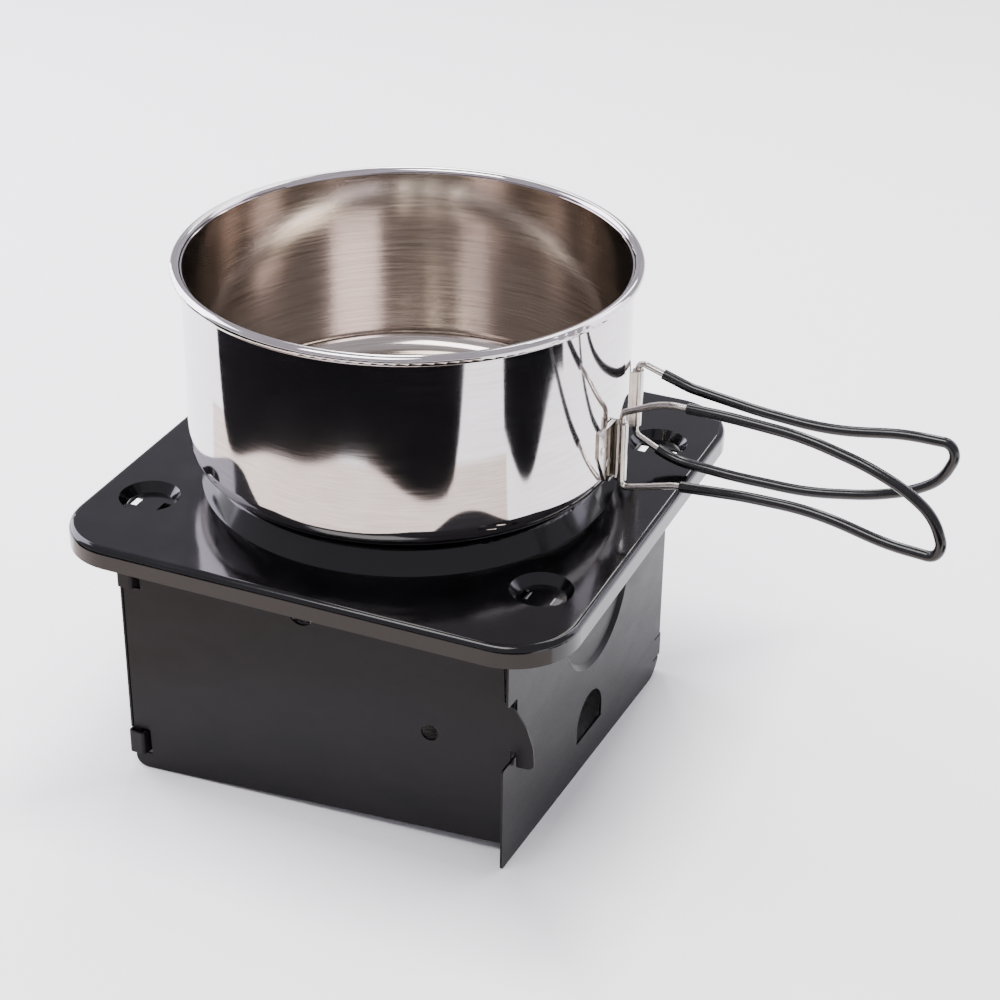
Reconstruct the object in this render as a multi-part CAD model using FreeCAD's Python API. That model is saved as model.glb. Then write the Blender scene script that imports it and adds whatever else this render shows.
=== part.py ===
import FreeCAD, Part
import math
import os

# Folding spirit stove: a four-panel sheet steel box, a pressed top plate that
# lies on it, a spirit burner standing inside and a stainless pot with two
# swinging wire handles.  Millimetres.  X right, Y back, Z up.  The origin is
# the middle of the top plate, dropped to the floor the box stands on.

V = FreeCAD.Vector

# ---- driving dimensions -------------------------------------------------
SHEET = 0.8

PLATE = 190.0
PLATE_CORNER_R = 24.0
PLATE_TOP = 108.4
FLANGE = 8.0
EDGE_R = 2.4
PLATFORM_FOOT_R = 74.7
PLATFORM_TOP_R = 70.5
PLATFORM_H = 8.6
PLATE_HOLE_R = 46.0
RIB_COUNT = 8
RIB_H = 2.0
RIB_IN = 51.0
RIB_OUT = 64.0
DIMPLE_X = 75.1
DIMPLE_Y = 56.3
DIMPLE_R = 10.9
DIMPLE_FLOOR_R = 8.4
DIMPLE_H = 3.4
DIMPLE_SLOT = 5.6
SLOT_W = 3.0
SLOT_L = 5.6

BOX_TOP = 104.1
RIDGE_X = 69.08
RIDGE_Y = -63.42
SIDE_YAW = 2.76
MARGIN_HIGH = 5.8
MARGIN_LOW = 9.0
HINGE_S = 131.5
SIDE_BACK_R = 10.0
NOTCH_LOW = 42.4
NOTCH_HIGH = 66.6
NOTCH_DEEP = 1.4
VENT_S = 64.2
VENT_LOW = 13.6
VENT_W = 22.0
VENT_H = 16.8
RECESS_S = 68.2
RECESS_Z = 69.6
RECESS_R = 27.6
RECESS_DEEP = 1.5

DOOR_X = -79.17
DOOR_Y = -71.07
DOOR_YAW = 2.955
DOOR_TILT = 1.68
DOOR_LEN = 146.8
DOOR_H = 95.2
DOOR_CORNER_R = 4.5
SLIT_U = 149.55
TONGUE_OUT = 157.3
PEEP_U = 118.7
PEEP_V = 41.7
PEEP_R = 3.25
TOP_HOLE_U = 71.9
TOP_HOLE_V = 80.7
TOP_HOLE_R = 4.7
LOOP_HEIGHTS = ((7.4, 16.6), (79.2, 88.4))
LOOP_MARGIN = 3.0
LOOP_SLOT_END = 6.7
LOOP_HALF = 2.1
LOOP_REACH = 5.6
EDGE_INSET = 0.9

POT_BASE = 119.0
POT_R = 78.4
POT_WALL = 0.8
POT_CORNER_R = 9.0
POT_RIM = 193.3
BEAD_R = 1.9
BEAD_MAJOR = 79.9

KNUCKLE_R = 82.0
KNUCKLE_Z = 135.2
NEAR_ANGLE = -2.0
FAR_ANGLE = 28.6
NEAR_SWING = -6.6
FAR_SWING = -0.4
WIRE_R = 1.2
EYE_R = 1.28
EYE_OUT_R = 2.1
EYE_UP = 11.4
EYE_DOWN = 10.4
SLEEVE_R = 1.9
LEAF_SWEEP = 8.3
LEAF_CUT = ((11.5, 9.5), (6.2, 20.6), (2.6, 22.0), (2.6, 30.0), (20.0, 30.0), (20.0, 9.5))
NEAR_SLEEVE = (24.0, 23.0)
FAR_SLEEVE = (8.6, 9.6)

# Corners of the handle loop as (reach, height, bend radius), round from eye to eye.
HANDLE_CORNERS = (
    (0.0, 15.4, 3.0), (15.0, 22.8, 30.0), (38.0, 24.2, 200.0), (66.0, 24.2, 100.0),
    (88.0, 20.0, 80.0), (102.5, 15.0, 50.0), (112.6, 8.0, 18.0), (116.4, -1.6, 6.0),
    (114.4, -6.6, 4.0), (98.0, -6.6, 80.0), (72.0, -2.0, 100.0), (46.0, -3.8, 150.0),
    (20.0, -7.4, 25.0), (0.0, -13.9, 2.2))

BURNER_R = 38.0
BURNER_H = 60.0
BURNER_MOUTH_R = 21.0
COLLAR_R = 30.0
SHUTTER_R = 23.0
PIVOT_R = 26.0
PIVOT_ANGLE = 225.0
SCREEN_HOLE_R = 1.5
SCREEN_PITCH = 4.4
SCREEN_RINGS = 5


# ---- small builders ------------------------------------------------------
def rounded_path(points, radii, place):
    """Closed outline through 2-D points with its own radius at each corner."""
    edges = []
    count = len(points)
    starts = []
    ends = []
    mids = []
    for i in range(count):
        p = points[i]
        a = points[i - 1]
        b = points[(i + 1) % count]
        ua = ((a[0] - p[0]), (a[1] - p[1]))
        ub = ((b[0] - p[0]), (b[1] - p[1]))
        la = math.hypot(*ua)
        lb = math.hypot(*ub)
        ua = (ua[0] / la, ua[1] / la)
        ub = (ub[0] / lb, ub[1] / lb)
        r = radii[i]
        if r <= 0:
            starts.append(p)
            ends.append(p)
            mids.append(None)
            continue
        dot = max(-1.0, min(1.0, ua[0] * ub[0] + ua[1] * ub[1]))
        half = math.acos(dot) / 2.0
        back = r / math.tan(half)
        starts.append((p[0] + ua[0] * back, p[1] + ua[1] * back))
        ends.append((p[0] + ub[0] * back, p[1] + ub[1] * back))
        bis = (ua[0] + ub[0], ua[1] + ub[1])
        lbis = math.hypot(*bis)
        bis = (bis[0] / lbis, bis[1] / lbis)
        reach = r / math.sin(half) - r
        mids.append((p[0] + bis[0] * reach, p[1] + bis[1] * reach))
    for i in range(count):
        if mids[i] is not None:
            arc = Part.Arc(place(*starts[i]), place(*mids[i]), place(*ends[i]))
            edges.append(arc.toShape())
        nxt = starts[(i + 1) % count]
        if math.dist(ends[i], nxt) > 1e-6:
            edges.append(Part.makeLine(place(*ends[i]), place(*nxt)))
    return Part.Wire(edges)


def turned(points, radii):
    """Solid of revolution about Z from an outline in (radius, height)."""
    wire = rounded_path(points, radii, lambda r, z: V(r, 0, z))
    return Part.Face(wire).revolve(V(0, 0, 0), V(0, 0, 1), 360)


def rounded_block(size, corner, edge, top, bottom):
    """Square block with round vertical corners and a rolled top edge."""
    h = size / 2.0
    pts = ((-h, -h), (h, -h), (h, h), (-h, h))
    wire = rounded_path(pts, (corner,) * 4, lambda x, y: V(x, y, bottom))
    block = Part.Face(wire).extrude(V(0, 0, top - bottom))
    rim = []
    for e in block.Edges:
        box = e.BoundBox
        if abs(box.ZMin - top) < 1e-6 and abs(box.ZMax - top) < 1e-6:
            rim.append(e)
    return block.makeFillet(edge, rim)


def cone(r_low, r_high, z_low, z_high, x=0.0, y=0.0):
    return Part.makeCone(r_low, r_high, z_high - z_low, V(x, y, z_low), V(0, 0, 1))


def rod(radius, length, base, axis):
    return Part.makeCylinder(radius, length, base, axis)


def save(name, shape):
    if shape.ShapeType == "Compound" and len(shape.Solids) == 1:
        shape = shape.Solids[0]
    shape.exportStep("parts/" + name + ".step")


# ---- top plate -----------------------------------------------------------
def platform_body(inset, drop):
    foot = PLATFORM_FOOT_R - inset
    crown = PLATFORM_TOP_R - inset
    top = PLATE_TOP + PLATFORM_H - drop
    low = PLATE_TOP - 4.0
    pts = ((0.0, low), (foot, low), (foot, PLATE_TOP - drop), (crown, top), (0.0, top))
    return turned(pts, (0, 0, 0, 2.6 - inset, 0))


def rib_bodies(radius):
    bodies = []
    z = PLATE_TOP + PLATFORM_H + RIB_H - 3.2
    for i in range(RIB_COUNT):
        a = math.radians(22.5 + 360.0 * i / RIB_COUNT)
        d = V(math.cos(a), math.sin(a), 0)
        start = d * RIB_IN
        start.z = z
        end = d * RIB_OUT
        end.z = z
        bar = rod(radius, RIB_OUT - RIB_IN, start, d)
        bar = bar.fuse(Part.makeSphere(radius, start)).fuse(Part.makeSphere(radius, end))
        bodies.append(bar)
    return bodies


def dimple_spots():
    return [(sx * DIMPLE_X, sy * DIMPLE_Y) for sx in (-1, 1) for sy in (-1, 1)]


def top_plate():
    outer = rounded_block(PLATE, PLATE_CORNER_R, EDGE_R, PLATE_TOP, PLATE_TOP - FLANGE)
    inner = rounded_block(
        PLATE - 2 * SHEET, PLATE_CORNER_R - SHEET, EDGE_R - SHEET,
        PLATE_TOP - SHEET, PLATE_TOP - FLANGE - 1.0)
    outer = outer.fuse(platform_body(0.0, 0.0))
    inner = inner.fuse(platform_body(SHEET, SHEET))
    for body in rib_bodies(3.2):
        outer = outer.fuse(body)
    for body in rib_bodies(3.2 - SHEET):
        inner = inner.fuse(body)
    for x, y in dimple_spots():
        floor = PLATE_TOP - DIMPLE_H
        slope = (DIMPLE_R - DIMPLE_FLOOR_R) / DIMPLE_H
        outer = outer.cut(cone(DIMPLE_FLOOR_R, DIMPLE_R + slope, floor, PLATE_TOP + 1.0, x, y))
        inner = inner.cut(cone(
            DIMPLE_FLOOR_R + SHEET, DIMPLE_R + SHEET + slope,
            floor - SHEET, PLATE_TOP + 1.0 - SHEET, x, y))
    sheet = outer.cut(inner)
    hole_low = PLATE_TOP - 6.0
    hole = rod(PLATE_HOLE_R, 30.0, V(0, 0, hole_low), V(0, 0, 1))
    sheet = sheet.cut(hole)
    for x, y in dimple_spots():
        for side in (-1, 1):
            box = Part.makeBox(
                SLOT_W, SLOT_L, 12.0,
                V(x + side * DIMPLE_SLOT - SLOT_W / 2.0, y - SLOT_L / 2.0, PLATE_TOP - 8.0))
            sheet = sheet.cut(box)
    return sheet.Solids[0]


# ---- box panels ----------------------------------------------------------
def put_side(shape):
    """From the side panel's own frame to the right-hand side of the box."""
    shape.rotate(V(0, 0, 0), V(0, 0, 1), -SIDE_YAW)
    shape.translate(V(RIDGE_X, RIDGE_Y, 0))
    return shape


def side_point(x, s, z):
    a = math.radians(-SIDE_YAW)
    return V(
        RIDGE_X + x * math.cos(a) - s * math.sin(a),
        RIDGE_Y + x * math.sin(a) + s * math.cos(a), z)


def box_centre():
    far = side_point(-EDGE_INSET, HINGE_S, 0)
    return V((far.x + DOOR_X) / 2.0, (far.y + DOOR_Y) / 2.0, 0)


def half_turn(shape):
    shape = shape.copy()
    shape.rotate(box_centre(), V(0, 0, 1), 180)
    return shape


def hinge_loop(low, high):
    """Tab of the side panel curled through the door and back on itself."""
    t = SHEET / 2.0
    s0 = HINGE_S
    path = (
        (0.0, s0 - LOOP_HALF - 3.0), (0.0, s0 + LOOP_HALF),
        (-LOOP_REACH, s0 + LOOP_HALF), (-LOOP_REACH, s0 - LOOP_HALF),
        (-1.5, s0 - LOOP_HALF))
    outline = (
        (t, path[0][1]), (t, path[1][1] + t), (path[2][0] - t, path[2][1] + t),
        (path[3][0] - t, path[3][1] - t), (path[4][0], path[4][1] - t),
        (path[4][0], path[4][1] + t), (path[3][0] + t, path[3][1] + t),
        (path[2][0] + t, path[2][1] - t), (-t, path[1][1] - t), (-t, path[0][1]))
    radii = (0, 1.2, 1.2, 1.2, 0, 0, 0.4, 0.4, 0.4, 0)
    wire = rounded_path(outline, radii, lambda x, s: V(x, s, low))
    return Part.Face(wire).extrude(V(0, 0, high - low))


def side_panel():
    t = SHEET / 2.0
    end = HINGE_S - LOOP_HALF - 2.6
    pts = (
        (-MARGIN_LOW, 0.0), (end + 5.2, 0.0), (end + 5.2, BOX_TOP), (-MARGIN_HIGH, BOX_TOP),
        (-MARGIN_HIGH, NOTCH_HIGH), (NOTCH_DEEP, NOTCH_HIGH), (NOTCH_DEEP, NOTCH_LOW),
        (-MARGIN_LOW, NOTCH_LOW))
    radii = (1.2, SIDE_BACK_R, 4.0, 2.0, 1.0, 0.8, 0.8, 1.0)
    wire = rounded_path(pts, radii, lambda s, z: V(-t, s, z))
    sheet = Part.Face(wire).extrude(V(SHEET, 0, 0))
    relief = end
    for low, high in LOOP_HEIGHTS:
        cut = Part.makeBox(4.0, 12.0, high - low + 1.2, V(-2.0, relief, low - 0.6))
        sheet = sheet.cut(cut)
    for low, high in LOOP_HEIGHTS:
        sheet = sheet.fuse(hinge_loop(low, high))
    spring = VENT_LOW + VENT_H - VENT_W / 2.0
    vent = Part.makeBox(6.0, VENT_W, spring - VENT_LOW, V(-3.0, VENT_S - VENT_W / 2.0, VENT_LOW))
    dome = rod(VENT_W / 2.0, 6.0, V(-3.0, VENT_S, spring), V(1, 0, 0))
    keep = Part.makeBox(8.0, 60.0, 60.0, V(-4.0, VENT_S - 30.0, VENT_LOW))
    vent = vent.fuse(dome.common(keep))
    deep = RECESS_DEEP
    lean = 2.0
    pan = Part.makeCone(
        RECESS_R - lean, RECESS_R + lean * 1.0 / deep, deep + 1.0,
        V(t - deep, RECESS_S, RECESS_Z), V(1, 0, 0))
    back = Part.makeCone(
        RECESS_R - lean + SHEET, RECESS_R + SHEET, deep,
        V(-t - deep, RECESS_S, RECESS_Z), V(1, 0, 0))
    sheet = sheet.fuse(back).cut(pan).cut(vent)
    return put_side(sheet.removeSplitter())


def put_door(shape):
    """From the door's own upright frame to its place in the box."""
    shape.rotate(V(0, 0, 0), V(0, 1, 0), -DOOR_TILT)
    shape.rotate(V(0, 0, 0), V(0, 0, 1), DOOR_YAW)
    shape.translate(V(DOOR_X, DOOR_Y, 0))
    return shape


def door_panel():
    t = SHEET / 2.0
    low = 34.6
    high = 60.2
    lean = math.tan(math.radians(DOOR_TILT))
    pts = (
        (0.0, 0.2), (DOOR_LEN, 0.2), (DOOR_LEN, low), (SLIT_U - 1.0, low),
        (SLIT_U - 1.0, low + 6.4), (SLIT_U + 1.0, low + 6.4), (SLIT_U + 1.0, low),
        (TONGUE_OUT, low), (TONGUE_OUT - 0.4, low + 9.0), (154.6, low + 17.0),
        (151.0, low + 23.0), (148.2, high), (DOOR_LEN, high + 0.4),
        (DOOR_LEN, DOOR_H), (lean * DOOR_H, DOOR_H))
    radii = (
        DOOR_CORNER_R, 3.0, 0.4, 0.3, 0.5, 0.5, 0.6,
        2.6, 8.0, 10.0, 6.0, 1.0, 0.8, 3.0, 3.0)
    wire = rounded_path(pts, radii, lambda u, v: V(u, -t, v))
    sheet = Part.Face(wire).extrude(V(0, SHEET, 0))
    for low_z, high_z in LOOP_HEIGHTS:
        slot = Part.makeBox(
            LOOP_SLOT_END - LOOP_MARGIN, 4.0, high_z - low_z + 1.6,
            V(LOOP_MARGIN + lean * (low_z + high_z) / 2.0, -2.0, low_z - 0.9))
        sheet = sheet.cut(slot)
    peep = rod(PEEP_R, 4.0, V(PEEP_U, -2.0, PEEP_V), V(0, 1, 0))
    hang = rod(TOP_HOLE_R, 4.0, V(TOP_HOLE_U, -2.0, TOP_HOLE_V), V(0, 1, 0))
    return put_door(sheet.cut(peep).cut(hang))


# ---- burner --------------------------------------------------------------
def burner_can():
    """Drawn wall, rolled in at the shoulder to hold the collar."""
    r = BURNER_R
    t = SHEET
    h = BURNER_H
    neck = COLLAR_R - 0.2
    pts = (
        (r - t, 2.0), (r, 2.0), (r, h - 6.0), (neck + t, h - 1.6), (neck + t, h),
        (neck, h), (neck, h - 2.2), (r - t, h - 6.6))
    return turned(pts, (0, 0, 3.0, 0, 0, 0, 0, 2.2))


def burner_base():
    """Pressed bottom with an upturned rim inside the can's wall."""
    r = BURNER_R - SHEET - 0.05
    t = SHEET
    pts = (
        (0.0, 0.0), (r + 0.75, 0.0), (r + 0.75, 1.9), (r, 1.9), (r, 7.0), (r - t, 7.0),
        (r - t, t), (0.0, t))
    return turned(pts, (0, 1.0, 0, 0, 0, 0, 0.6, 0))


def wool_pad():
    r = BURNER_R - SHEET - 1.0
    top = BURNER_H - 9.0
    return turned(((0.0, 1.0), (r, 1.0), (r, top), (0.0, top)), (0, 1.2, 4.0, 0))


def burner_collar():
    h = BURNER_H
    m = BURNER_MOUTH_R
    pts = (
        (m, h - 4.0), (m + 0.8, h - 4.0), (m + 0.8, h + 0.05), (COLLAR_R + 1.4, h + 0.05),
        (COLLAR_R + 1.4, h + 0.85), (m, h + 0.85))
    ring = turned(pts, (0, 0, 0.3, 0, 0.4, 1.0))
    a = math.radians(PIVOT_ANGLE)
    eye = rod(1.3, 6.0, V(PIVOT_R * math.cos(a), PIVOT_R * math.sin(a), h - 2.0), V(0, 0, 1))
    return ring.cut(eye)


def wool_screen():
    """Perforated disc, dished at the rim, that holds the wool down."""
    z = BURNER_H - 8.4
    r = BURNER_MOUTH_R + 4.0
    disc = turned(
        ((0.0, z - 0.3), (r - 1.0, z - 0.3), (r, z + 1.0), (r - 0.7, z + 1.2),
         (r - 1.4, z + 0.3), (0.0, z + 0.3)), (0, 0.6, 0.2, 0, 0.4, 0))
    holes = [rod(SCREEN_HOLE_R, 4.0, V(0, 0, z - 2.0), V(0, 0, 1))]
    for ring in range(1, SCREEN_RINGS + 1):
        for i in range(6 * ring):
            a = 2 * math.pi * i / (6 * ring)
            at = V(ring * SCREEN_PITCH * math.cos(a), ring * SCREEN_PITCH * math.sin(a), z - 2.0)
            holes.append(rod(SCREEN_HOLE_R, 4.0, at, V(0, 0, 1)))
    return disc.cut(Part.makeCompound(holes)).Solids[0]


def flame_shutter():
    z = BURNER_H + 1.05
    a = math.radians(PIVOT_ANGLE)
    px = PIVOT_R * math.cos(a)
    py = PIVOT_R * math.sin(a)
    disc = rod(SHUTTER_R, 0.8, V(0, 0, z), V(0, 0, 1))
    ear = rod(4.0, 0.8, V(px, py, z), V(0, 0, 1))
    neck = Part.makeBox(16.0, 8.0, 0.8, V(-16.0 + 2.0, -4.0, z))
    neck.translate(V(-PIVOT_R + 12.0, 0, 0))
    neck.rotate(V(0, 0, 0), V(0, 0, 1), PIVOT_ANGLE - 180.0)
    plate = disc.fuse(ear).fuse(neck)
    plate = plate.cut(rod(1.3, 4.0, V(px, py, z - 1.0), V(0, 0, 1)))
    hub = rod(1.5, 4.0, V(SHUTTER_R - 6.0, 0, z - 1.0), V(0, 0, 1))
    return plate.removeSplitter().cut(hub)


def shutter_rivet():
    a = math.radians(PIVOT_ANGLE)
    px = PIVOT_R * math.cos(a)
    py = PIVOT_R * math.sin(a)
    h = BURNER_H
    pin = rod(1.22, 2.9, V(px, py, h - 0.7), V(0, 0, 1))
    foot = rod(2.2, 0.7, V(px, py, h - 0.75), V(0, 0, 1))
    head = Part.makeSphere(2.6, V(px, py, h + 0.6))
    crop = Part.makeBox(10, 10, 4, V(px - 5, py - 5, h + 1.95))
    return pin.fuse(foot).fuse(head.common(crop))


def shutter_knob():
    z = BURNER_H + 1.05
    x = SHUTTER_R - 6.0
    body = turned(
        ((0.0, z), (1.42, z), (1.42, z + 0.85), (3.2, z + 0.85), (3.6, z + 7.0),
         (0.0, z + 7.0)), (0, 0, 0, 0, 1.2, 0))
    body.translate(V(x, 0, 0))
    return body


def bent_rod(points, radii, place, radius):
    """Round bar along an open path with bend radii."""
    edges = []
    last = points[0]
    for i in range(1, len(points) - 1):
        p = points[i]
        a = points[i - 1]
        b = points[i + 1]
        la = math.dist(a, p)
        lb = math.dist(b, p)
        ua = ((a[0] - p[0]) / la, (a[1] - p[1]) / la)
        ub = ((b[0] - p[0]) / lb, (b[1] - p[1]) / lb)
        half = math.acos(ua[0] * ub[0] + ua[1] * ub[1]) / 2.0
        r = radii[i]
        back = r / math.tan(half)
        s = (p[0] + ua[0] * back, p[1] + ua[1] * back)
        e = (p[0] + ub[0] * back, p[1] + ub[1] * back)
        bis = (ua[0] + ub[0], ua[1] + ub[1])
        lbis = math.hypot(*bis)
        reach = r / math.sin(half) - r
        m = (p[0] + bis[0] / lbis * reach, p[1] + bis[1] / lbis * reach)
        edges.append(Part.makeLine(place(*last), place(*s)))
        edges.append(Part.Arc(place(*s), place(*m), place(*e)).toShape())
        last = e
    edges.append(Part.makeLine(place(*last), place(*points[-1])))
    spine = Part.Wire(edges)
    start = edges[0].valueAt(edges[0].FirstParameter)
    ahead = edges[0].tangentAt(edges[0].FirstParameter)
    ring = Part.Wire([Part.makeCircle(radius, start, ahead)])
    return spine.makePipeShell([ring], True, True)


# ---- pot -----------------------------------------------------------------
def pot_body():
    r = POT_R
    t = POT_WALL
    z0 = POT_BASE
    top = POT_RIM - BEAD_R
    c = POT_CORNER_R
    shell = turned(
        ((0.0, z0), (r, z0), (r, top), (r - t, top), (r - t, z0 + t), (0.0, z0 + t)),
        (0, c, 0, 0, c - t, 0))
    roll = Part.makeTorus(BEAD_MAJOR, BEAD_R, V(0, 0, top))
    hollow = Part.makeTorus(BEAD_MAJOR, BEAD_R - 0.8, V(0, 0, top))
    gap = turned(
        ((r + 0.9, top - 3.0), (BEAD_MAJOR + 0.5, top - 3.0), (BEAD_MAJOR + 0.5, top - 0.6),
         (r + 0.9, top - 0.6)), (0, 0, 0, 0))
    return shell.fuse(roll).cut(hollow).cut(gap).removeSplitter().Solids[0]


def knuckle_axis(angle):
    a = math.radians(angle)
    return V(KNUCKLE_R * math.cos(a), KNUCKLE_R * math.sin(a), 0)


def handle_bracket(angle, side):
    """Leaf on the pot wall with a rolled eye; side is -1 near, +1 far."""
    up = EYE_UP if side < 0 else EYE_DOWN
    down = EYE_DOWN if side < 0 else EYE_UP
    k = knuckle_axis(angle)
    low = KNUCKLE_Z - down
    tall = up + down
    eye = rod(EYE_OUT_R, tall, V(k.x, k.y, low), V(0, 0, 1))
    leaf = rod(POT_R + SHEET, tall, V(0, 0, low), V(0, 0, 1))
    leaf = leaf.cut(rod(POT_R, tall + 2, V(0, 0, low - 1), V(0, 0, 1)))
    a0 = angle + side * 0.7
    a1 = angle + side * LEAF_SWEEP
    first = min(a0, a1)
    wedge = Part.makeCylinder(120.0, tall, V(0, 0, low), V(0, 0, 1), abs(a1 - a0))
    wedge.rotate(V(0, 0, 0), V(0, 0, 1), first)
    leaf = leaf.common(wedge)
    d = V(math.cos(math.radians(angle)), math.sin(math.radians(angle)), 0)
    n = V(-d.y, d.x, 0) * side
    outline = []
    for w, h in LEAF_CUT:
        point = V(k.x, k.y, 0) + n * w
        point.z = low + tall - h if side < 0 else low + h
        outline.append(point)
    face = Part.Face(Part.makePolygon(outline + [outline[0]]))
    face.translate(d * -30.0)
    leaf = leaf.cut(face.extrude(d * 60.0))
    web = Part.makeBox(2.9, 0.8, tall, V(POT_R + 0.1, 0, low))
    web.translate(V(0, -EYE_OUT_R if side > 0 else EYE_OUT_R - 0.8, 0))
    web.rotate(V(0, 0, 0), V(0, 0, 1), angle)
    web2 = Part.makeBox(0.8, 3.6, tall, V(POT_R, -1.8, low))
    web2.rotate(V(0, 0, 0), V(0, 0, 1), angle)
    solid = leaf.fuse(eye).fuse(web2).fuse(web)
    solid = solid.cut(rod(POT_R, tall + 2, V(0, 0, low - 1), V(0, 0, 1)))
    solid = solid.cut(rod(EYE_R, tall + 2, V(k.x, k.y, low - 1), V(0, 0, 1)))
    return solid.removeSplitter().Solids[0]


def handle_place(angle, swing, side):
    """Map (reach, height) in the loop's own plane to the stove's frame."""
    k = knuckle_axis(angle)
    t = math.radians(swing)
    return lambda reach, dz: V(
        k.x + reach * math.cos(t), k.y + reach * math.sin(t), KNUCKLE_Z - side * dz)


def handle_wire(angle, swing, side):
    points = [(0.0, 0.6)] + [(a, b) for a, b, r in HANDLE_CORNERS] + [(0.0, -0.6)]
    radii = [0] + [r for a, b, r in HANDLE_CORNERS] + [0]
    return bent_rod(points, radii, handle_place(angle, swing, side), WIRE_R)


def along(p, q, reach):
    """Point of the straight from p to q at the given reach."""
    f = (reach - p[0]) / (q[0] - p[0])
    return (reach, p[1] + f * (q[1] - p[1]))


def handle_sleeve(angle, swing, side, ends):
    """Tube over the wire, from one reach on the first arm to one on the other."""
    corners = list(HANDLE_CORNERS)
    first = 1
    while corners[first][0] < ends[0]:
        first += 1
    last = len(corners) - 2
    while corners[last][0] < ends[1]:
        last -= 1
    kept = corners[first:last + 1]
    start = along(corners[first - 1], corners[first], ends[0])
    end = along(corners[last], corners[last + 1], ends[1])
    points = [start] + [(a, b) for a, b, r in kept] + [end]
    radii = [0] + [r for a, b, r in kept] + [0]
    place = handle_place(angle, swing, side)
    skin = bent_rod(points, radii, place, SLEEVE_R)
    return skin.cut(bent_rod(points, radii, place, WIRE_R + 0.02))


def main():
    os.makedirs("parts", exist_ok=True)
    right = side_panel()
    front = door_panel()
    save("top_plate", top_plate())
    save("right_panel", right)
    save("left_panel", half_turn(right))
    save("front_panel", front)
    save("back_panel", half_turn(front))
    save("burner_can", burner_can())
    save("burner_base", burner_base())
    save("burner_wool", wool_pad())
    save("wool_screen", wool_screen())
    save("burner_collar", burner_collar())
    save("flame_shutter", flame_shutter())
    save("shutter_rivet", shutter_rivet())
    save("shutter_knob", shutter_knob())
    save("pot_body", pot_body())
    save("near_handle_bracket", handle_bracket(NEAR_ANGLE, -1))
    save("far_handle_bracket", handle_bracket(FAR_ANGLE, 1))
    save("near_handle_wire", handle_wire(NEAR_ANGLE, NEAR_SWING, -1))
    save("far_handle_wire", handle_wire(FAR_ANGLE, FAR_SWING, 1))
    save("near_handle_sleeve", handle_sleeve(NEAR_ANGLE, NEAR_SWING, -1, NEAR_SLEEVE))
    save("far_handle_sleeve", handle_sleeve(FAR_ANGLE, FAR_SWING, 1, FAR_SLEEVE))


main()
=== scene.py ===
import math

import bmesh
import bpy
from mathutils import Matrix, Vector


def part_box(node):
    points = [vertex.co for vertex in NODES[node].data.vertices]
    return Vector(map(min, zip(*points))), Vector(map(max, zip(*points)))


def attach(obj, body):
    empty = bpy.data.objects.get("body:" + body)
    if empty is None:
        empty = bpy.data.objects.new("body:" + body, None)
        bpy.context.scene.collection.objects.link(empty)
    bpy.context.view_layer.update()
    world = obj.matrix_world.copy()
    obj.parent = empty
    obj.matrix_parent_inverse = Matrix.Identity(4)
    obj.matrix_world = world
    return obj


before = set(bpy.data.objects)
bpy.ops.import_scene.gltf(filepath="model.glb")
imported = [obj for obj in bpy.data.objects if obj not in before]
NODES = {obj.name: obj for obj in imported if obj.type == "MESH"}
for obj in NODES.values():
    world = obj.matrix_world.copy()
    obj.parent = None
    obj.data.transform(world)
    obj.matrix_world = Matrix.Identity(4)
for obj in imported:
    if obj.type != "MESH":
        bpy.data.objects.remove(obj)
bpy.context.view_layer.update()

bl_info = {
    "name": "Folding spirit stove",
    "version": (1, 0, 0),
    "blender": (4, 5, 0),
    "location": "View3D > Sidebar > Stove",
    "description": "Finishes, small pieces and studio for a folding spirit stove with its pot",
    "category": "Object",
}

MM = 0.001
POT_LOW, POT_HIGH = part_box("pot_body")
POT_MIDDLE = (POT_LOW + POT_HIGH) / 2
BURNER_MIDDLE = Vector((0.0, 0.0, 0.0))
EVEN = (1.0, 1.0, 1.0)

# Which faces of the pot are brushed: those that look inwards or up, clear of the rim.
INNER_WALL_FROM = 60 * MM
INNER_FLOOR_TO = 78 * MM
LOOKS_IN = 0.3

# Spot welds: bracket, angle of the first one about the pot's axis and step to the next, in degrees.
WELDS = (("near", -5.2, -3.4), ("far", 31.8, 3.4))
WELD_LOWEST, WELD_RISE = 0.36, 0.3
WELD_RAY_FROM, WELD_RAY_LENGTH = 90 * MM, 11.4 * MM
WELD_SIDES = 32
# Radius and height, in weld radii, from the middle of a mark outwards.
WELD_PROFILE = ((0.0, 0.01), (0.35, 0.012), (0.62, 0.05), (0.82, 0.085), (0.95, 0.05), (1.0, -0.03),
                (0.97, -0.1))

# The camera's place, in metres, and its three axes.
CAMERA_AT = (0.31637, -0.66053, 0.51471)
CAMERA_RIGHT = (0.91754, 0.39746, 0.01212)
CAMERA_UP = (-0.20718, 0.45181, 0.86772)
CAMERA_BACK = (0.33941, -0.79868, 0.4969)

# The floor's half width, and where its glow begins and is full, from the middle of the box. Nearer than where
# the glow begins the floor gets no glow, a painted shade round the box.
FLOOR_HALF = 40.0
GLOW_FROM, GLOW_FULL = 76 * MM, 130 * MM

STRIPS = ((-0.34, 0.62), (0.02, 0.8), (0.42, 0.66))
STRIP_HEIGHT = 0.95


# ---- node helpers ---------------------------------------------------------
def linear(code):
    """sRGB hex to the linear colour that shaders read."""
    def channel(i):
        c = int(code[i:i + 2], 16) / 255
        return c / 12.92 if c <= 0.04045 else ((c + 0.055) / 1.055) ** 2.4
    code = code.lstrip("#")
    return (channel(0), channel(2), channel(4), 1.0)


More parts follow.
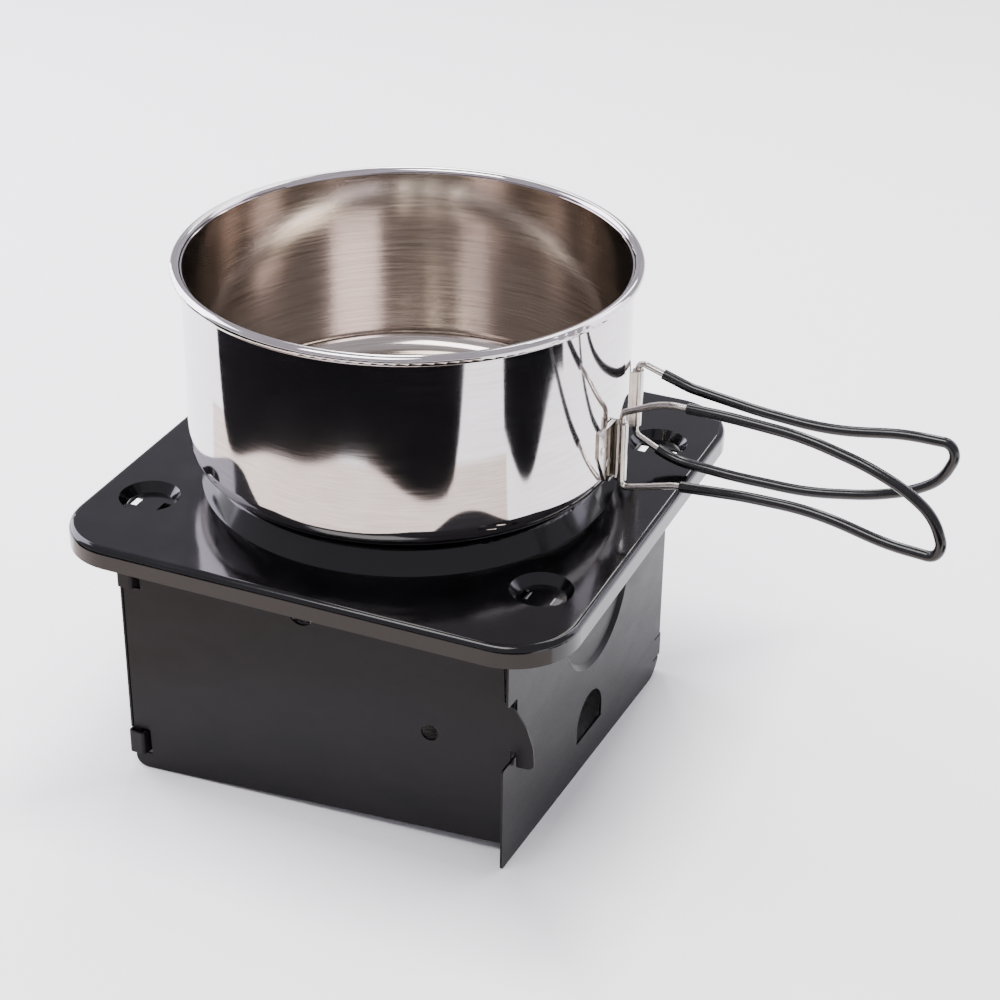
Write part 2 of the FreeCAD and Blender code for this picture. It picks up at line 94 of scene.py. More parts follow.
def add(tree, kind, inputs=None, **settings):
    """Adds one node; an input value that is a socket is linked, any other is set."""
    node = tree.nodes.new(kind)
    for name, value in settings.items():
        setattr(node, name, value)
    for name, value in (inputs or {}).items():
        if isinstance(value, bpy.types.NodeSocket):
            tree.links.new(value, node.inputs[name])
        else:
            node.inputs[name].default_value = value
    return node


def new_material(name):
    """Empty node material with one shader in it."""
    material = bpy.data.materials.new(name)
    material.use_nodes = True
    tree = material.node_tree
    tree.nodes.clear()
    shader = add(tree, "ShaderNodeBsdfPrincipled")
    output = add(tree, "ShaderNodeOutputMaterial")
    tree.links.new(shader.outputs["BSDF"], output.inputs["Surface"])
    return material, tree, shader


def stretched(tree, scale, centre=(0.0, 0.0, 0.0)):
    """Object coordinates about a centre, with their own scale along each axis."""
    place = add(tree, "ShaderNodeTexCoord").outputs["Object"]
    moved = add(tree, "ShaderNodeVectorMath", {0: place, 1: centre}, operation="SUBTRACT")
    return add(tree, "ShaderNodeVectorMath", {0: moved.outputs[0], 1: scale}, operation="MULTIPLY").outputs[0]


def around(tree, centre, rounds, rise):
    """Coordinates that run round an upright axis: angle, height and radius, in pattern units."""
    place = add(tree, "ShaderNodeTexCoord").outputs["Object"]
    moved = add(tree, "ShaderNodeVectorMath", {0: place, 1: centre}, operation="SUBTRACT")
    xyz = add(tree, "ShaderNodeSeparateXYZ", {0: moved.outputs[0]})
    flat = add(tree, "ShaderNodeCombineXYZ", {0: xyz.outputs[0], 1: xyz.outputs[1]})
    unit = add(tree, "ShaderNodeVectorMath", {0: flat.outputs[0]}, operation="NORMALIZE")
    turned = add(tree, "ShaderNodeVectorMath", {0: unit.outputs[0], 3: rounds}, operation="SCALE")
    radius = add(tree, "ShaderNodeVectorMath", {0: flat.outputs[0]}, operation="LENGTH")
    both = add(tree, "ShaderNodeMath", {0: xyz.outputs[2], 1: radius.outputs["Value"]}, operation="ADD")
    up = add(tree, "ShaderNodeMath", {0: both.outputs[0], 1: rise}, operation="MULTIPLY")
    lift = add(tree, "ShaderNodeCombineXYZ", {2: up.outputs[0]})
    whole = add(tree, "ShaderNodeVectorMath", {0: turned.outputs[0], 1: lift.outputs[0]}, operation="ADD")
    return whole.outputs[0]


# ---- materials ------------------------------------------------------------
def polished_stainless(settings):
    """Drawn and buffed 18/8 stainless: a near mirror with faint buffing lines round the wall."""
    material, tree, shader = new_material("polished_stainless")
    lines = add(tree, "ShaderNodeTexNoise", {
        "Vector": around(tree, POT_MIDDLE, 5.0, 1 / (0.45 * MM)), "Scale": 1.0, "Detail": 3.0,
        "Roughness": 0.6})
    cloud = add(tree, "ShaderNodeTexNoise", {
        "Vector": stretched(tree, EVEN), "Scale": 1 / (38 * MM), "Detail": 2.0})
    tree.links.new(add(tree, "ShaderNodeMix", {
        0: add(tree, "ShaderNodeMapRange", {
            0: lines.outputs[0], 1: 0.35, 2: 0.65, 3: 0.0, 4: 1.0}).outputs[0],
        6: linear(settings.steel_colour_dark),
        7: linear(settings.steel_colour_light)}, data_type="RGBA").outputs[2],
        shader.inputs["Base Color"])
    both = add(tree, "ShaderNodeMath", {
        0: add(tree, "ShaderNodeMapRange", {
            0: lines.outputs[0], 1: 0.3, 2: 0.7, 3: 0.0, 4: 0.025}).outputs[0],
        1: add(tree, "ShaderNodeMapRange", {
            0: cloud.outputs[0], 1: 0.3, 2: 0.7, 3: 0.035, 4: 0.06}).outputs[0]},
        operation="ADD")
    tree.links.new(both.outputs[0], shader.inputs["Roughness"])
    shader.inputs["Metallic"].default_value = 1.0
    bump = add(tree, "ShaderNodeBump", {"Height": lines.outputs[0], "Strength": 0.05, "Distance": 0.02 * MM})
    tree.links.new(bump.outputs[0], shader.inputs["Normal"])
    return material


def brushed_inside(settings):
    """Inside of the pot: fine satin lines round the wall and rings on the floor."""
    material, tree, shader = new_material("brushed_stainless_inside")
    lines = add(tree, "ShaderNodeTexNoise", {
        "Vector": around(tree, POT_MIDDLE, 3.0, 1 / (0.5 * MM)), "Scale": 1.0, "Detail": 4.0,
        "Roughness": 0.65})
    cloud = add(tree, "ShaderNodeTexNoise", {
        "Vector": around(tree, POT_MIDDLE, 2.2, 1 / (90 * MM)), "Scale": 1.0, "Detail": 2.0})
    tree.links.new(add(tree, "ShaderNodeMix", {
        0: add(tree, "ShaderNodeMapRange", {
            0: lines.outputs[0], 1: 0.3, 2: 0.7, 3: 0.0, 4: 1.0}).outputs[0],
        6: linear("#B3AAA1"), 7: linear("#D2CBC3")}, data_type="RGBA").outputs[2],
        shader.inputs["Base Color"])
    both = add(tree, "ShaderNodeMath", {
        0: add(tree, "ShaderNodeMapRange", {
            0: lines.outputs[0], 1: 0.3, 2: 0.7, 3: 0.0, 4: 0.06}).outputs[0],
        1: add(tree, "ShaderNodeMapRange", {
            0: cloud.outputs[0], 1: 0.3, 2: 0.7, 3: 0.07, 4: 0.12}).outputs[0]},
        operation="ADD")
    tree.links.new(both.outputs[0], shader.inputs["Roughness"])
    shader.inputs["Metallic"].default_value = 1.0
    shader.inputs["Anisotropic"].default_value = 0.55
    bump = add(tree, "ShaderNodeBump", {"Height": lines.outputs[0], "Strength": 0.10, "Distance": 0.03 * MM})
    tree.links.new(bump.outputs[0], shader.inputs["Normal"])
    return material


def bright_stainless(settings):
    """Rolled stainless sheet with its mill lines, bent cold, for brackets."""
    material, tree, shader = new_material("rolled_stainless_sheet")
    lines = add(tree, "ShaderNodeTexNoise", {
        "Vector": stretched(tree, (1 / (1.2 * MM), 1 / (1.2 * MM), 1 / (9 * MM))),
        "Scale": 1.0, "Detail": 3.0})
    pits = add(tree, "ShaderNodeTexNoise", {
        "Vector": stretched(tree, EVEN), "Scale": 1 / (1.1 * MM), "Detail": 3.0})
    tree.links.new(add(tree, "ShaderNodeMix", {
        0: add(tree, "ShaderNodeMapRange", {
            0: lines.outputs[0], 1: 0.3, 2: 0.7, 3: 0.0, 4: 1.0}).outputs[0],
        6: linear("#B9B4AF"), 7: linear("#D6D2CD")}, data_type="RGBA").outputs[2],
        shader.inputs["Base Color"])
    tree.links.new(add(tree, "ShaderNodeMapRange", {
            0: pits.outputs[0], 1: 0.3, 2: 0.7, 3: 0.11, 4: 0.24}).outputs[0], shader.inputs["Roughness"])
    shader.inputs["Metallic"].default_value = 1.0
    bump = add(tree, "ShaderNodeBump", {"Height": pits.outputs[0], "Strength": 0.18, "Distance": 0.05 * MM})
    tree.links.new(bump.outputs[0], shader.inputs["Normal"])
    return material


def drawn_wire(settings):
    """Hard drawn stainless wire: bright, with faint lines along the draw."""
    material, tree, shader = new_material("drawn_stainless_wire")
    lines = add(tree, "ShaderNodeTexNoise", {
        "Vector": stretched(tree, (1 / (12 * MM), 1 / (0.5 * MM), 1 / (0.5 * MM))),
        "Scale": 1.0, "Detail": 3.0})
    tree.links.new(add(tree, "ShaderNodeMix", {
        0: add(tree, "ShaderNodeMapRange", {
            0: lines.outputs[0], 1: 0.3, 2: 0.7, 3: 0.0, 4: 1.0}).outputs[0],
        6: linear("#B5AFA8"), 7: linear("#D8D3CB")}, data_type="RGBA").outputs[2],
        shader.inputs["Base Color"])
    tree.links.new(add(tree, "ShaderNodeMapRange", {
            0: lines.outputs[0], 1: 0.3, 2: 0.7, 3: 0.10, 4: 0.20}).outputs[0], shader.inputs["Roughness"])
    shader.inputs["Metallic"].default_value = 1.0
    bump = add(tree, "ShaderNodeBump", {"Height": lines.outputs[0], "Strength": 0.12, "Distance": 0.03 * MM})
    tree.links.new(bump.outputs[0], shader.inputs["Normal"])
    return material


def black_enamel(settings):
    """Stoved gloss black paint on pressed steel: deep, wet-looking, with slight orange peel."""
    material, tree, shader = new_material("gloss_black_enamel")
    peel = add(tree, "ShaderNodeTexNoise", {
        "Vector": stretched(tree, EVEN), "Scale": 1 / (1.6 * MM), "Detail": 2.0})
    dust = add(tree, "ShaderNodeTexNoise", {
        "Vector": stretched(tree, EVEN), "Scale": 1 / (14 * MM), "Detail": 5.0})
    tree.links.new(add(tree, "ShaderNodeMix", {
        0: add(tree, "ShaderNodeMapRange", {
            0: dust.outputs[0], 1: 0.3, 2: 0.7, 3: 0.0, 4: 1.0}).outputs[0],
        6: linear(settings.enamel_colour), 7: linear("#0C0B0D")}, data_type="RGBA").outputs[2],
        shader.inputs["Base Color"])
    tree.links.new(add(tree, "ShaderNodeMapRange", {
            0: dust.outputs[0], 1: 0.3, 2: 0.7, 3: 0.09, 4: 0.16}).outputs[0], shader.inputs["Roughness"])
    shader.inputs["IOR"].default_value = 1.52
    shader.inputs["Specular IOR Level"].default_value = 0.4
    bump = add(tree, "ShaderNodeBump", {"Height": peel.outputs[0], "Strength": 0.05, "Distance": 0.03 * MM})
    tree.links.new(bump.outputs[0], shader.inputs["Normal"])
    return material


def black_satin(settings):
    """Satin black heat-proof paint on sheet steel: fine grain with faint handling marks."""
    material, tree, shader = new_material("satin_black_paint")
    grain = add(tree, "ShaderNodeTexNoise", {
        "Vector": stretched(tree, EVEN), "Scale": 1 / (0.7 * MM), "Detail": 3.0})
    marks = add(tree, "ShaderNodeTexNoise", {
        "Vector": stretched(tree, (1.0, 1.0, 2.2)), "Scale": 1 / (26 * MM), "Detail": 4.0,
        "Roughness": 0.55, "Distortion": 0.4})
    tree.links.new(add(tree, "ShaderNodeMix", {
        0: add(tree, "ShaderNodeMapRange", {
            0: marks.outputs[0], 1: 0.3, 2: 0.62, 3: 0.0, 4: 1.0}).outputs[0],
        6: linear("#0F0D0F"), 7: linear(settings.satin_colour)}, data_type="RGBA").outputs[2],
        shader.inputs["Base Color"])
    rough = add(tree, "ShaderNodeMath", {
        0: add(tree, "ShaderNodeMapRange", {
            0: marks.outputs[0], 1: 0.3, 2: 0.7, 3: 0.30, 4: 0.40}).outputs[0],
        1: add(tree, "ShaderNodeMapRange", {
            0: grain.outputs[0], 1: 0.3, 2: 0.7, 3: 0.0, 4: 0.06}).outputs[0]},
        operation="ADD")
    tree.links.new(rough.outputs[0], shader.inputs["Roughness"])
    shader.inputs["Specular IOR Level"].default_value = 0.17
    bump = add(tree, "ShaderNodeBump", {"Height": grain.outputs[0], "Strength": 0.12, "Distance": 0.04 * MM})
    tree.links.new(bump.outputs[0], shader.inputs["Normal"])
    return material


def black_vinyl(settings):
    """Dip-moulded black vinyl tube: smooth and glossy, with soft waviness."""
    material, tree, shader = new_material("dipped_black_vinyl")
    wave = add(tree, "ShaderNodeTexNoise", {
        "Vector": stretched(tree, EVEN), "Scale": 1 / (5 * MM), "Detail": 3.0})
    tree.links.new(add(tree, "ShaderNodeMix", {
        0: add(tree, "ShaderNodeMapRange", {
            0: wave.outputs[0], 1: 0.3, 2: 0.7, 3: 0.0, 4: 1.0}).outputs[0],
        6: linear("#060607"), 7: linear("#0E0E10")}, data_type="RGBA").outputs[2],
        shader.inputs["Base Color"])
    tree.links.new(add(tree, "ShaderNodeMapRange", {
            0: wave.outputs[0], 1: 0.3, 2: 0.7, 3: 0.15, 4: 0.24}).outputs[0], shader.inputs["Roughness"])
    shader.inputs["IOR"].default_value = 1.53
    bump = add(tree, "ShaderNodeBump", {"Height": wave.outputs[0], "Strength": 0.08, "Distance": 0.1 * MM})
    tree.links.new(bump.outputs[0], shader.inputs["Normal"])
    return material


def burner_steel(settings):
    """Spun stainless sheet with turning lines, a little heat-stained in patches."""
    material, tree, shader = new_material("spun_stainless_burner")
    lines = add(tree, "ShaderNodeTexNoise", {
        "Vector": around(tree, BURNER_MIDDLE, 2.0, 1 / (0.6 * MM)), "Scale": 1.0, "Detail": 3.0})
    stain = add(tree, "ShaderNodeTexNoise", {
        "Vector": stretched(tree, EVEN), "Scale": 1 / (17 * MM), "Detail": 3.0})
    tree.links.new(add(tree, "ShaderNodeMix", {
        0: add(tree, "ShaderNodeMapRange", {
            0: stain.outputs[0], 1: 0.35, 2: 0.7, 3: 0.0, 4: 1.0}).outputs[0],
        6: linear("#C4C0BB"), 7: linear("#AFA595")}, data_type="RGBA").outputs[2],
        shader.inputs["Base Color"])
    tree.links.new(add(tree, "ShaderNodeMapRange", {
            0: lines.outputs[0], 1: 0.3, 2: 0.7, 3: 0.20, 4: 0.34}).outputs[0], shader.inputs["Roughness"])
    shader.inputs["Metallic"].default_value = 1.0
    bump = add(tree, "ShaderNodeBump", {"Height": lines.outputs[0], "Strength": 0.12, "Distance": 0.04 * MM})
    tree.links.new(bump.outputs[0], shader.inputs["Normal"])
    return material


def screen_steel(settings):
    """Punched stainless sheet, dulled by flame."""
    material, tree, shader = new_material("punched_stainless_screen")
    soot = add(tree, "ShaderNodeTexNoise", {
        "Vector": stretched(tree, EVEN), "Scale": 1 / (6 * MM), "Detail": 4.0})
    tree.links.new(add(tree, "ShaderNodeMix", {
        0: add(tree, "ShaderNodeMapRange", {
            0: soot.outputs[0], 1: 0.3, 2: 0.7, 3: 0.0, 4: 1.0}).outputs[0],
        6: linear("#8F8A84"), 7: linear("#6E675F")}, data_type="RGBA").outputs[2],
        shader.inputs["Base Color"])
    tree.links.new(add(tree, "ShaderNodeMapRange", {
            0: soot.outputs[0], 1: 0.3, 2: 0.7, 3: 0.3, 4: 0.5}).outputs[0], shader.inputs["Roughness"])
    shader.inputs["Metallic"].default_value = 1.0
    bump = add(tree, "ShaderNodeBump", {"Height": soot.outputs[0], "Strength": 0.1, "Distance": 0.05 * MM})
    tree.links.new(bump.outputs[0], shader.inputs["Normal"])
    return material


def turned_steel(settings):
    """Small turned steel pieces with lathe marks."""
    material, tree, shader = new_material("turned_steel")
    lines = add(tree, "ShaderNodeTexNoise", {
        "Vector": stretched(tree, (1 / (2 * MM), 1 / (2 * MM), 1 / (0.35 * MM))), "Scale": 1.0,
        "Detail": 2.0})
    tree.links.new(add(tree, "ShaderNodeMix", {
        0: add(tree, "ShaderNodeMapRange", {
            0: lines.outputs[0], 1: 0.3, 2: 0.7, 3: 0.0, 4: 1.0}).outputs[0],
        6: linear("#A7A39E"), 7: linear("#C6C2BD")}, data_type="RGBA").outputs[2],
        shader.inputs["Base Color"])
    tree.links.new(add(tree, "ShaderNodeMapRange", {
            0: lines.outputs[0], 1: 0.3, 2: 0.7, 3: 0.18, 4: 0.3}).outputs[0], shader.inputs["Roughness"])
    shader.inputs["Metallic"].default_value = 1.0
    bump = add(tree, "ShaderNodeBump", {"Height": lines.outputs[0], "Strength": 0.15, "Distance": 0.04 * MM})
    tree.links.new(bump.outputs[0], shader.inputs["Normal"])
    return material


def mineral_wool(settings):
    """White mineral wool: matt, fibrous and lumpy."""
    material, tree, shader = new_material("mineral_wool")
    fibre = add(tree, "ShaderNodeTexNoise", {
        "Vector": stretched(tree, (1.0, 1.0, 3.0)), "Scale": 1 / (0.9 * MM), "Detail": 6.0,
        "Distortion": 1.2})
    lump = add(tree, "ShaderNodeTexNoise", {
        "Vector": stretched(tree, EVEN), "Scale": 1 / (6 * MM), "Detail": 3.0})
    tree.links.new(add(tree, "ShaderNodeMix", {
        0: add(tree, "ShaderNodeMapRange", {
            0: lump.outputs[0], 1: 0.3, 2: 0.7, 3: 0.0, 4: 1.0}).outputs[0],
        6: linear("#D9D5CB"), 7: linear("#F2F0EA")}, data_type="RGBA").outputs[2],
        shader.inputs["Base Color"])
    tree.links.new(add(tree, "ShaderNodeMapRange", {
            0: fibre.outputs[0], 1: 0.3, 2: 0.7, 3: 0.82, 4: 0.98}).outputs[0], shader.inputs["Roughness"])
    shader.inputs["Sheen Weight"].default_value = 0.3
    bump = add(tree, "ShaderNodeBump", {"Height": fibre.outputs[0], "Strength": 0.6, "Distance": 0.5 * MM})
    tree.links.new(bump.outputs[0], shader.inputs["Normal"])
    return material


def pale_floor(settings, stage):
    """Seamless white studio paper that glows as if lit from below, with painted shade: the glow is nil under
    the box and fades in away from it, a painted contact shadow round the box.
    """
    material, tree, shader = new_material("studio_paper")
    grain = add(tree, "ShaderNodeTexNoise", {
        "Vector": stretched(tree, EVEN), "Scale": 1 / (3 * MM), "Detail": 2.0})
    tree.links.new(add(tree, "ShaderNodeMix", {
        0: grain.outputs[0],
        6: linear(settings.floor_colour), 7: linear("#FDFDFD")}, data_type="RGBA").outputs[2],
        shader.inputs["Base Color"])
    shader.inputs["Roughness"].default_value = 0.75
    shader.inputs["Emission Color"].default_value = linear(settings.floor_colour)
    xyz = add(tree, "ShaderNodeSeparateXYZ", {0: add(tree, "ShaderNodeTexCoord").outputs["Object"]})
    across, along = (add(tree, "ShaderNodeMath", {0: xyz.outputs[i]}, operation="ABSOLUTE") for i in (0, 1))
    reach = add(tree, "ShaderNodeMath", {0: across.outputs[0], 1: along.outputs[0]}, operation="MAXIMUM")
    # Painted shade: the glow is nil within GLOW_FROM of the box's middle and full from GLOW_FULL, so the
    # floor darkens round the box as a painted contact shadow.
    glow = add(tree, "ShaderNodeMapRange", {
        "Value": reach.outputs[0], "From Min": GLOW_FROM, "From Max": GLOW_FULL,
        "To Min": 0.0, "To Max": stage.floor_glow})
    tree.links.new(glow.outputs[0], shader.inputs["Emission Strength"])
    return material


def black_cloth():
    """Black cloth laid in front of the set, seen only in shiny pieces, where it gives painted dark
    reflections.
    """
    material, tree, shader = new_material("black_cloth")
    weave = add(tree, "ShaderNodeTexNoise", {
        "Vector": stretched(tree, EVEN), "Scale": 1 / (60 * MM), "Detail": 3.0})
    tree.links.new(add(tree, "ShaderNodeMix", {
        0: weave.outputs[0],
        6: linear("#040405"), 7: linear("#0C0B0E")}, data_type="RGBA").outputs[2],
        shader.inputs["Base Color"])
    shader.inputs["Roughness"].default_value = 0.9
    shader.inputs["Specular IOR Level"].default_value = 0.05
    return material


def warm_card(stage):
    """Cream card lying in front of the box that glows by its own emission, seen only in shiny pieces as a
    painted bright reflection.
    """
    material, tree, shader = new_material("cream_card")
    fibre = add(tree, "ShaderNodeTexNoise", {
        "Vector": stretched(tree, EVEN), "Scale": 1 / (90 * MM), "Detail": 2.0})
    colour = add(tree, "ShaderNodeMix", {
        0: fibre.outputs[0],
        6: linear("#E4D3C3"), 7: linear("#F1E6DB")}, data_type="RGBA").outputs[2]
    tree.links.new(colour, shader.inputs["Base Color"])
    tree.links.new(colour, shader.inputs["Emission Color"])
    # The card glows at a share of the floor glow; it is no lamp and shows only as a painted reflection.
    shader.inputs["Emission Strength"].default_value = stage.floor_glow * 0.45
    shader.inputs["Roughness"].default_value = 0.8
    return material


# ---- settings -------------------------------------------------------------
class StoveFinishes(bpy.types.PropertyGroup):
    steel_colour_dark: bpy.props.StringProperty(
        name="Steel, dark lines", description="sRGB hex of the darker buffing lines", default="#C6C0BF")
    steel_colour_light: bpy.props.StringProperty(
        name="Steel, light lines", description="sRGB hex of the brighter buffing lines", default="#D9D4D5")
    enamel_colour: bpy.props.StringProperty(
        name="Top plate enamel", description="sRGB hex of the gloss enamel", default="#070708")
    satin_colour: bpy.props.StringProperty(
        name="Panel paint", description="sRGB hex of the satin paint", default="#171416")
    floor_colour: bpy.props.StringProperty(
        name="Floor paper", description="sRGB hex of the studio paper", default="#F7F7F8")
    inside_depth: bpy.props.FloatProperty(
        name="Brushed band", description="How far below the rim the brushed inside starts",
        default=2.2 * MM, min=0.0, max=20 * MM, unit="LENGTH")
    weld_radius: bpy.props.FloatProperty(
        name="Weld mark radius", description="Radius of a spot weld's dished mark",
        default=1.7 * MM, min=0.5 * MM, max=4 * MM, unit="LENGTH")


class StoveStage(bpy.types.PropertyGroup):
    focal: bpy.props.FloatProperty(
        name="Focal length", description="Camera focal length on a 36 mm sensor",
        default=83.15, min=20, max=200)
    key_power: bpy.props.FloatProperty(
        name="Key light", description="Power of the large soft light on the left", default=22.0, min=0)
    fill_power: bpy.props.FloatProperty(
        name="Fill light", description="Power of the strip light on the right", default=4.0, min=0)
    top_power: bpy.props.FloatProperty(
        name="Top light", description="Power of the overhead soft box", default=9.0, min=0)
    strip_power: bpy.props.FloatProperty(
        name="Strip lights", description="Power of the narrow lights above the pot", default=3.2, min=0)
    room: bpy.props.FloatProperty(
        name="Room light", description="Strength of the even light all round", default=0.75, min=0)
    floor_glow: bpy.props.FloatProperty(
        name="Floor glow", description="How strongly the floor paper is lit from below", default=1.4, min=0)
    cloth_near: bpy.props.FloatProperty(
        name="Cloth, near edge", description="Distance from the stove's middle to the black cloth",
        default=335 * MM, min=0.2, unit="LENGTH")


# ---- operators ------------------------------------------------------------
def give(material, *names):
    """Makes a material the only one of some CAD nodes."""
    for name in names:
        slots = NODES[name].data.materials
        slots.clear()
        slots.append(material)


class STOVE_OT_pot(bpy.types.Operator):
    """Finish the pot: mirror outside, brushed inside"""
    bl_idname = "stove.pot"
    bl_label = "Pot"

    def execute(self, context):
        settings = context.scene.stove_finishes
        pot = NODES["pot_body"]
        give(polished_stainless(settings), "pot_body")
        pot.data.materials.append(brushed_inside(settings))
        top = POT_HIGH.z - settings.inside_depth
        for face in pot.data.polygons:
            out = Vector((face.center.x, face.center.y, 0.0))
            wall_in = face.normal.dot(out) < -LOOKS_IN * out.length and out.length > INNER_WALL_FROM
            floor_in = face.normal.z > LOOKS_IN and out.length < INNER_FLOOR_TO
            if face.center.z < top and (wall_in or floor_in):
                face.material_index = 1
        return {"FINISHED"}


class STOVE_OT_handles(bpy.types.Operator):
    """Finish both handles and their brackets"""
    bl_idname = "stove.handles"
    bl_label = "Handles"

    def execute(self, context):
        settings = context.scene.stove_finishes
        give(bright_stainless(settings), "near_handle_bracket", "far_handle_bracket")
        give(drawn_wire(settings), "near_handle_wire", "far_handle_wire")
        give(black_vinyl(settings), "near_handle_sleeve", "far_handle_sleeve")
        return {"FINISHED"}


def dish(name, foot, normal, size, material):
    """Small round spot-weld mark: raised ring with a dished middle, closed below."""
    shape = bmesh.new()
    turns = [math.tau * k / WELD_SIDES for k in range(WELD_SIDES)]
    rings = [[shape.verts.new((r * size * math.cos(t), r * size * math.sin(t), h * size)) for t in turns]
             for r, h in WELD_PROFILE[1:]]
    middle = shape.verts.new((0, 0, WELD_PROFILE[0][1] * size))
    for k in range(WELD_SIDES):
        after = (k + 1) % WELD_SIDES
        shape.faces.new((middle, rings[0][k], rings[0][after]))
        for inner, outer in zip(rings, rings[1:]):
            shape.faces.new((inner[k], outer[k], outer[after], inner[after]))
    shape.faces.new(rings[-1][::-1])
    turn = Vector((0, 0, 1)).rotation_difference(normal).to_matrix().to_4x4()
    bmesh.ops.transform(shape, matrix=Matrix.Translation(foot) @ turn, verts=shape.verts)
    bmesh.ops.recalc_face_normals(shape, faces=shape.faces)
    for face in shape.faces:
        face.smooth = True
    mesh = bpy.data.meshes.new(name)
    shape.to_mesh(mesh)
    shape.free()
    mesh.materials.append(material)
    piece = bpy.data.objects.new(name, mesh)
    bpy.context.scene.collection.objects.link(piece)
    return piece


class STOVE_OT_welds(bpy.types.Operator):
    """Spot-weld marks that hold each bracket leaf to the pot"""
    bl_idname = "stove.welds"
    bl_label = "Weld marks"

    def execute(self, context):
        settings = context.scene.stove_finishes
        material = bright_stainless(settings)
        for side, start, step in WELDS:
            bracket = NODES[side + "_handle_bracket"]
            low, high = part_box(side + "_handle_bracket")
            for number in range(2):
                turn = math.radians(start + number * step)
                out = Vector((math.cos(turn), math.sin(turn), 0.0))
                height = low.z + (WELD_LOWEST + WELD_RISE * number) * (high.z - low.z)
                hit, place, normal, face = bracket.ray_cast(
                    out * WELD_RAY_FROM + Vector((0, 0, height)), -out, distance=WELD_RAY_LENGTH)
                if not hit:
                    raise RuntimeError(f"no {side} leaf under weld mark {number}")
                piece = dish(f"{side}_weld_mark_{number}", place, normal, settings.weld_radius, material)
                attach(piece, "pot")
        return {"FINISHED"}


class STOVE_OT_plate(bpy.types.Operator):
    """Finish the pressed top plate"""
    bl_idname = "stove.plate"
    bl_label = "Top plate"

    def execute(self, context):
        give(black_enamel(context.scene.stove_finishes), "top_plate")
        return {"FINISHED"}


class STOVE_OT_box(bpy.types.Operator):
    """Finish the four panels of the box"""
    bl_idname = "stove.box"
    bl_label = "Box"

    def execute(self, context):
        paint = black_satin(context.scene.stove_finishes)
        give(paint, "front_panel", "back_panel", "left_panel", "right_panel")
        return {"FINISHED"}


class STOVE_OT_burner(bpy.types.Operator):
    """Finish the burner inside the box"""
    bl_idname = "stove.burner"
    bl_label = "Burner"

    def execute(self, context):
        settings = context.scene.stove_finishes
        give(burner_steel(settings), "burner_can", "burner_base", "burner_collar", "flame_shutter")
        give(screen_steel(settings), "wool_screen")
        give(turned_steel(settings), "shutter_rivet", "shutter_knob")
        give(mineral_wool(settings), "burner_wool")
        return {"FINISHED"}


def soft_box(name, at, towards, size, power, colour=(1.0, 1.0, 1.0)):
    """Rectangular light that faces a point."""
    light = bpy.data.lights.new(name, "AREA")
    light.shape = "RECTANGLE"
    light.size, light.size_y = size
    light.energy = power
    light.color = colour
    lamp = bpy.data.objects.new(name, light)
    lamp.location = at
    lamp.rotation_euler = (Vector(towards) - Vector(at)).to_track_quat("-Z", "Y").to_euler()
    bpy.context.scene.collection.objects.link(lamp)


def fan(start, end, height, reach):
    """Flat sheet round the middle, between two turns in degrees; reach gives its two edges."""
    shape = bmesh.new()
    steps = 48
    edges = []
    for step in range(steps + 1):
        turn = math.radians(start + (end - start) * step / steps)
        edges.append([
            shape.verts.new((d * math.cos(turn), d * math.sin(turn), height)) for d in reach(turn)])
    for (a, b), (c, d) in zip(edges, edges[1:]):
        shape.faces.new((a, b, d, c))
    return shape


def lay(context, name, shape, material):
    """Makes a stage object of a finished shape."""
    mesh = bpy.data.meshes.new(name)
    shape.to_mesh(mesh)
    shape.free()
    mesh.materials.append(material)
    piece = bpy.data.objects.new(name, mesh)
    context.scene.collection.objects.link(piece)
    return piece


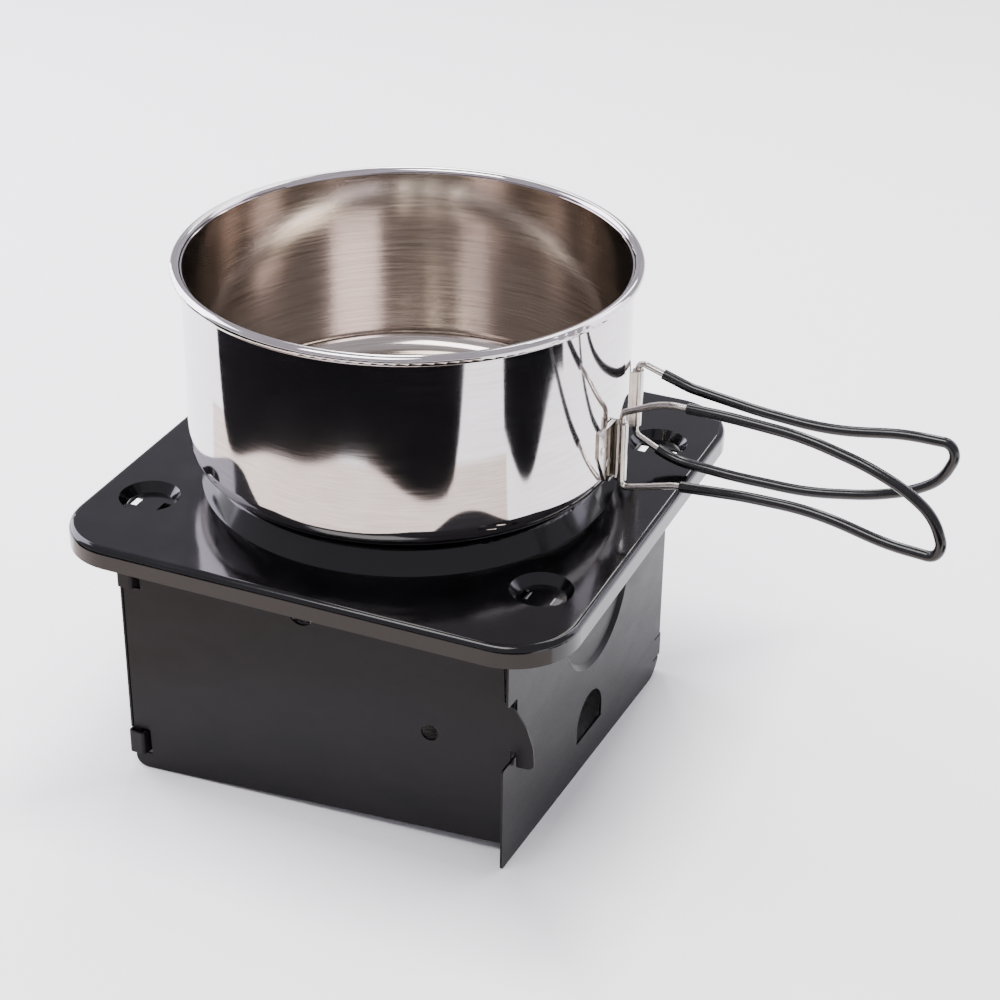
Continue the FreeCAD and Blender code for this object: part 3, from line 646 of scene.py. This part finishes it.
class STOVE_OT_stage(bpy.types.Operator):
    """Lay the floor and set the lights and the camera"""
    bl_idname = "stove.stage"
    bl_label = "Stage"

    def execute(self, context):
        stage = context.scene.stove_stage
        shape = bmesh.new()
        bmesh.ops.create_grid(shape, x_segments=1, y_segments=1, size=FLOOR_HALF)
        lay(context, "studio_floor", shape, pale_floor(context.scene.stove_finishes, stage))
        near = stage.cloth_near

        def cloth_edges(turn):
            """Wavy near edge that draws back at both ends, and a straight far one."""
            wave = 0.05 * math.sin(3.1 * turn + 0.6) + 0.02 * math.sin(7.3 * turn)
            left_end = 1.2 * math.exp(-((turn + 3.09) / 0.16) ** 2)
            right_end = 0.9 * math.exp(-((turn + 0.576) / 0.12) ** 2)
            return near * (1 + wave + left_end + right_end), 2.2

        def flag_edges(turn):
            return near * (1.1 + 0.15 * math.sin(9 * turn)), 0.62

        def card_edges(turn):
            return 0.15, near * 1.05

        cloth = black_cloth()
        hidden = [
            lay(context, "black_cloth", fan(-177, -33, 1 * MM, cloth_edges), cloth),
            lay(context, "black_flag", fan(-21, 12, 1 * MM, flag_edges), cloth),
            lay(context, "warm_card", fan(-172, -20, 0.5 * MM, card_edges), warm_card(stage))]
        # The cloth, flag and card show only in reflections and cast no shadow: painted dark and bright
        # reflections in the shiny pieces.
        for sheet in hidden:
            sheet.visible_camera = sheet.visible_diffuse = sheet.visible_shadow = False
        middle = (0.0, 0.0, 0.12)
        lilac = linear("#F1ECFF")[:3]
        soft_box("key_light", (-1.0, 0.15, 0.55), middle, (0.9, 0.9), stage.key_power, lilac)
        soft_box("fill_light", (0.8, 0.75, 0.5), middle, (0.5, 0.8), stage.fill_power, lilac)
        soft_box("top_light", (-0.1, -0.5, 1.1), middle, (0.7, 0.4), stage.top_power)
        for number, (x, y) in enumerate(STRIPS):
            soft_box(f"strip_{number}", (x, y, STRIP_HEIGHT), (0, 0, 0.15), (0.12, 0.7), stage.strip_power)
        world = bpy.data.worlds.new("studio_room")
        world.use_nodes = True
        room = world.node_tree.nodes["Background"].inputs
        room["Color"].default_value = linear("#F0ECFA")
        room["Strength"].default_value = stage.room
        context.scene.world = world
        camera = bpy.data.cameras.new("studio_camera")
        camera.lens = stage.focal
        camera.sensor_width = 36.0
        camera.clip_start = 0.01
        view = bpy.data.objects.new("studio_camera", camera)
        turn = Matrix((CAMERA_RIGHT, CAMERA_UP, CAMERA_BACK)).transposed().to_4x4()
        view.matrix_world = Matrix.Translation(CAMERA_AT) @ turn
        context.scene.collection.objects.link(view)
        context.scene.camera = view
        return {"FINISHED"}


class STOVE_PT_panel(bpy.types.Panel):
    """Stove pieces and stage"""
    bl_label = "Spirit stove"
    bl_idname = "STOVE_PT_panel"
    bl_space_type = "VIEW_3D"
    bl_region_type = "UI"
    bl_category = "Stove"

    def draw(self, context):
        column = self.layout.column()
        for piece in PIECES:
            column.operator(piece.bl_idname)
        for group in (context.scene.stove_finishes, context.scene.stove_stage):
            for name in group.__annotations__:
                column.prop(group, name)


PIECES = (STOVE_OT_stage, STOVE_OT_plate, STOVE_OT_box, STOVE_OT_pot, STOVE_OT_handles,
          STOVE_OT_welds, STOVE_OT_burner)
CLASSES = (StoveFinishes, StoveStage) + PIECES + (STOVE_PT_panel,)


def register():
    for item in CLASSES:
        bpy.utils.register_class(item)
    bpy.types.Scene.stove_finishes = bpy.props.PointerProperty(type=StoveFinishes)
    bpy.types.Scene.stove_stage = bpy.props.PointerProperty(type=StoveStage)


def unregister():
    del bpy.types.Scene.stove_stage
    del bpy.types.Scene.stove_finishes
    for item in reversed(CLASSES):
        bpy.utils.unregister_class(item)


def main():
    register()
    for piece in PIECES:
        group, name = piece.bl_idname.split(".")
        getattr(getattr(bpy.ops, group), name)()


if __name__ == "__main__":
    main()
